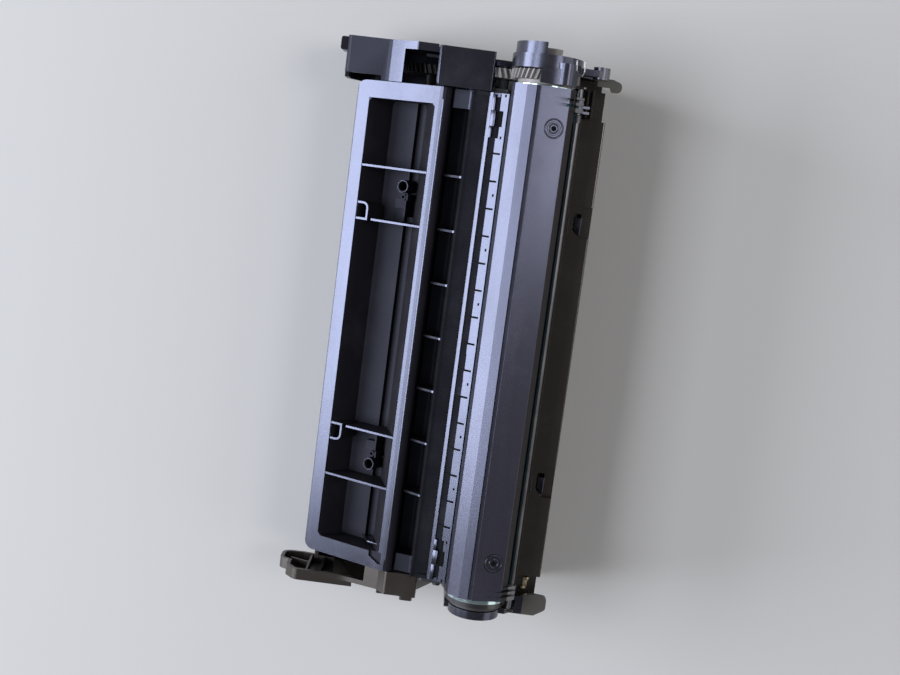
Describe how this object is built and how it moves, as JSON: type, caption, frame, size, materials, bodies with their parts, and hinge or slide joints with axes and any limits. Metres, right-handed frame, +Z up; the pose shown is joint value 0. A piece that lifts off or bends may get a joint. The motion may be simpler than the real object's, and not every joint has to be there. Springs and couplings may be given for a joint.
{
  "type": "toner cartridge",
  "caption": "Laser printer toner cartridge with drum unit, sprung drum shutter, developer roller, gear train and toner hopper with a sunk tray in its lid.",
  "frame": {"origin": "on the label face, in the middle of the toner hopper's length, below the trough; the cartridge lies on that face", "axes": "+X along the drum towards the drive end, +Y towards the toner hopper, +Z up, out of the side with the drum shutter"},
  "size_m": [0.2772, 0.1371, 0.0863],
  "materials": {
    "agitator_blade": "clear amber film",
    "agitator_gear": "white plastic",
    "agitator_shaft": "dark grey moulded plastic",
    "blade_screw_contact": "ground steel",
    "blade_screw_drive": "ground steel",
    "blade_screw_middle": "ground steel",
    "charge_roller_shaft": "ground steel",
    "charge_roller_sleeve": "black conductive rubber",
    "charge_saddle_contact": "pale natural plastic",
    "charge_saddle_drive": "pale natural plastic",
    "cleaning_blade": "amber polyurethane rubber",
    "cleaning_blade_bracket": "zinc plated sheet steel",
    "contact_cover_screw_far": "ground steel",
    "contact_cover_screw_near": "ground steel",
    "contact_end_cover": "satin black moulded plastic with a fine grain",
    "developer_frame": "glossy black moulded plastic",
    "developer_gear": "brown grey gear plastic",
    "developer_sleeve": "black conductive rubber",
    "drive_cover_screw_far": "ground steel",
    "drive_cover_screw_near": "ground steel",
    "drive_end_cover": "satin black moulded plastic with a fine grain",
    "drum_gear_flange": "brown grey gear plastic",
    "drum_hub": "dark grey moulded plastic",
    "drum_pin": "ground steel",
    "drum_plate_contact": "satin black moulded plastic with a fine grain",
    "drum_plate_drive": "satin black moulded plastic with a fine grain",
    "drum_shutter": "satin black moulded plastic with a fine grain",
    "drum_tube": "blue green coating on aluminium",
    "hopper_lid": "satin black moulded plastic with a fine grain",
    "idler_gear": "white plastic",
    "magnet_core": "dark grey moulded plastic",
    "metering_blade": "amber polyurethane rubber",
    "metering_blade_bracket": "zinc plated sheet steel",
    "roller_bearing_contact": "pale natural plastic",
    "roller_bearing_drive": "pale natural plastic",
    "shutter_rod": "ground steel",
    "shutter_spring": "spring steel wire",
    "spacer_collar_contact": "pale natural plastic",
    "spacer_collar_drive": "pale natural plastic",
    "toner_hopper": "satin black moulded plastic with a fine grain",
    "toner_plug": "white plastic",
    "unit_pin_contact": "ground steel",
    "unit_pin_drive": "ground steel",
    "waste_bin": "satin black moulded plastic with a fine grain",
    "waste_bin_cover": "satin black moulded plastic with a fine grain"
  },
  "bodies": {
    "agitator": {"agitator_blade": "agitator_blade", "agitator_gear": "agitator_gear", "agitator_shaft": "agitator_shaft"},
    "developer_unit": {"blade_screw_contact": "blade_screw_contact", "blade_screw_drive": "blade_screw_drive", "blade_screw_middle": "blade_screw_middle", "contact_cover_screw_far": "contact_cover_screw_far", "contact_cover_screw_near": "contact_cover_screw_near", "contact_end_cover": "contact_end_cover", "developer_frame": "developer_frame", "drive_cover_screw_far": "drive_cover_screw_far", "drive_cover_screw_near": "drive_cover_screw_near", "drive_end_cover": "drive_end_cover", "hopper_lid": "hopper_lid", "magnet_core": "magnet_core", "metering_blade": "metering_blade", "metering_blade_bracket": "metering_blade_bracket", "roller_bearing_contact": "roller_bearing_contact", "roller_bearing_drive": "roller_bearing_drive", "toner_hopper": "toner_hopper", "toner_plug": "toner_plug"},
    "charge_roller": {"charge_roller_shaft": "charge_roller_shaft", "charge_roller_sleeve": "charge_roller_sleeve"},
    "drum_unit": {"charge_saddle_contact": "charge_saddle_contact", "charge_saddle_drive": "charge_saddle_drive", "cleaning_blade": "cleaning_blade", "cleaning_blade_bracket": "cleaning_blade_bracket", "drum_pin": "drum_pin", "drum_plate_contact": "drum_plate_contact", "drum_plate_drive": "drum_plate_drive", "shutter_rod": "shutter_rod", "shutter_spring": "shutter_spring", "unit_pin_contact": "unit_pin_contact", "unit_pin_drive": "unit_pin_drive", "waste_bin": "waste_bin", "waste_bin_cover": "waste_bin_cover"},
    "developer_roller": {"developer_gear": "developer_gear", "developer_sleeve": "developer_sleeve", "spacer_collar_contact": "spacer_collar_contact", "spacer_collar_drive": "spacer_collar_drive"},
    "drum": {"drum_gear_flange": "drum_gear_flange", "drum_hub": "drum_hub", "drum_tube": "drum_tube"},
    "shutter": {"drum_shutter": "drum_shutter"},
    "idler": {"idler_gear": "idler_gear"}
  },
  "joints": [
    {"name": "developer_swing", "type": "hinge", "parent": "drum_unit", "child": "developer_unit", "pos_m": [0, -0.021, 0.022], "axis": [-1, 0, 0], "range_deg": [0, 1.2], "stiffness_Nm_per_rad": 1, "springref_deg": -17.19},
    {"name": "drum_spin", "type": "hinge", "parent": "drum_unit", "child": "drum", "pos_m": [0, -0.032, 0.068], "axis": [1, 0, 0], "continuous": true},
    {"name": "charge_roller_spin", "type": "hinge", "parent": "drum_unit", "child": "charge_roller", "pos_m": [0, -0.0436, 0.05014], "axis": [1, 0, 0], "continuous": true},
    {"name": "developer_roller_spin", "type": "hinge", "parent": "developer_unit", "child": "developer_roller", "pos_m": [0, -0.01254, 0.05536], "axis": [1, 0, 0], "continuous": true},
    {"name": "idler_spin", "type": "hinge", "parent": "developer_unit", "child": "idler", "pos_m": [0, 0.00245, 0.03872], "axis": [1, 0, 0], "continuous": true},
    {"name": "agitator_spin", "type": "hinge", "parent": "developer_unit", "child": "agitator", "pos_m": [0, 0.02259, 0.01927], "axis": [1, 0, 0], "continuous": true},
    {"name": "shutter_swing", "type": "hinge", "parent": "drum_unit", "child": "shutter", "pos_m": [0, -0.0485, 0.074], "axis": [1, 0, 0], "range_deg": [0, 95], "stiffness_Nm_per_rad": 0.004, "springref_deg": -34.38}
  ],
  "couplings": [
    {"joint": "charge_roller_spin", "follows": "drum_spin", "ratio": -2.5},
    {"joint": "developer_roller_spin", "follows": "drum_spin", "ratio": -1.9},
    {"joint": "idler_spin", "follows": "drum_spin", "ratio": 1.0556},
    {"joint": "agitator_spin", "follows": "drum_spin", "ratio": -1.1176}
  ]
}
